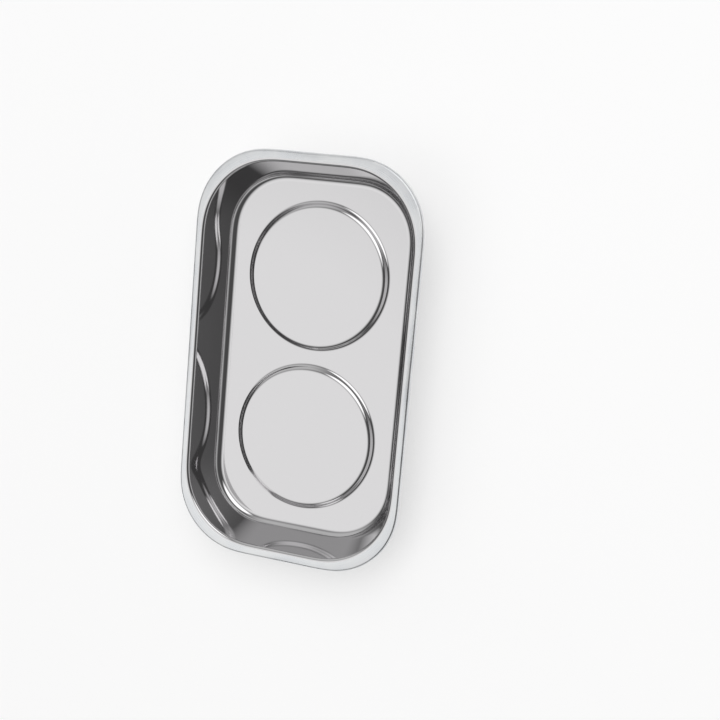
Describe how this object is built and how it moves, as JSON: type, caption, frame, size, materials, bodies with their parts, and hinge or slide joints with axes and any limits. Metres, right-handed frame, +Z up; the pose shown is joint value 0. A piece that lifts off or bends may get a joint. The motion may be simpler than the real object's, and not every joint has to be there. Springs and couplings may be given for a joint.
{
  "type": "magnetic parts tray",
  "caption": "Rectangular pressed steel tray with round corners, a flat rim and raised round seats, standing on rubber-booted ring magnets that hold screws and small parts.",
  "frame": {"origin": "on the standing surface, below the middle of the dish", "axes": "+X across the dish, +Y along its length towards the rear magnet, +Z up out of the dish"},
  "size_m": [0.14, 0.241, 0.038],
  "materials": {
    "polished_stainless": "mirror-polished inside, satin brushed rim",
    "zinc_plated_steel": "bright zinc plate",
    "pole_plate_steel": "zinc plate on cold-rolled sheet",
    "spring_steel": "plain bright spring steel",
    "ferrite": "ground sintered ferrite",
    "boot_rubber": "matt moulded black rubber"
  },
  "bodies": {
    "root": {"dish": "polished_stainless", "rear_stud": "zinc_plated_steel", "rear_plate": "pole_plate_steel", "rear_magnet": "ferrite", "rear_boot": "boot_rubber", "rear_washer": "zinc_plated_steel", "rear_lock_washer": "spring_steel", "rear_nut": "zinc_plated_steel", "front_stud": "zinc_plated_steel", "front_plate": "pole_plate_steel", "front_magnet": "ferrite", "front_boot": "boot_rubber", "front_washer": "zinc_plated_steel", "front_lock_washer": "spring_steel", "front_nut": "zinc_plated_steel"}
  },
  "joints": []
}
